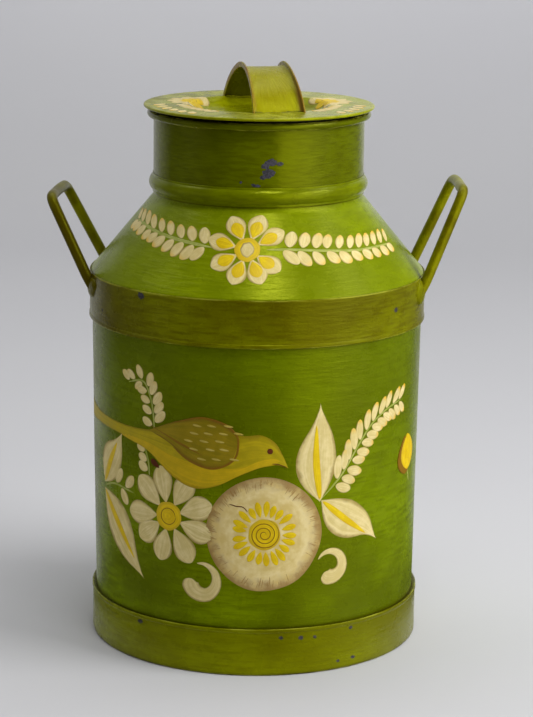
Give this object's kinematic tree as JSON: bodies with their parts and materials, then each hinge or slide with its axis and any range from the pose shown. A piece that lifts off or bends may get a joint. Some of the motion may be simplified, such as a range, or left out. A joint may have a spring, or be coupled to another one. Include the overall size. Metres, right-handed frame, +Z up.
{
  "type": "milk can",
  "caption": "Painted sheet-metal milk can: straight barrel, cone shoulder, short neck, lift-out lid with a strap handle, and a bent rod handle on each side.",
  "frame": {"origin": "centre of the foot, on the floor, on the can's own axis", "axes": "+Z up along the can's axis; the side handles stand on +X and -X, both set 4.7 degrees round towards the back; the painted front faces -Y and the sheet seams run up the back, on +Y"},
  "size_m": [0.3191, 0.257, 0.4426],
  "materials": {
    "green_enamel": "gloss, brushed on by hand, chipped at the edges",
    "painted_solder": "gloss over lumpy solder",
    "tinplate": "dull tinned sheet",
    "solder": "dull grey solder",
    "steel_wire": "drawn wire",
    "cream_paint": "brushed decoration, satin",
    "yellow_paint": "brushed decoration, satin",
    "olive_paint": "brushed decoration, satin"
  },
  "bodies": {
    "can": {"body_shell": "green_enamel", "bottom_pan": "tinplate", "bottom_solder": "solder", "foot_band": "green_enamel", "upper_hoop": "green_enamel", "shoulder": "green_enamel", "neck_tube": "green_enamel", "mouth_wire": "steel_wire", "neck_collar": "green_enamel", "neck_solder": "solder", "left_handle": "green_enamel", "right_handle": "green_enamel", "handle_solder": "painted_solder"},
    "lid": {"lid_pan": "green_enamel", "lid_edge_wire": "steel_wire", "lid_skirt": "tinplate", "lid_strap": "green_enamel", "strap_solder": "painted_solder"}
  },
  "joints": [
    {"name": "lid_lift", "type": "slide", "parent": "can", "child": "lid", "axis": [0, 0, 1], "range_m": [0, 0.12]}
  ]
}
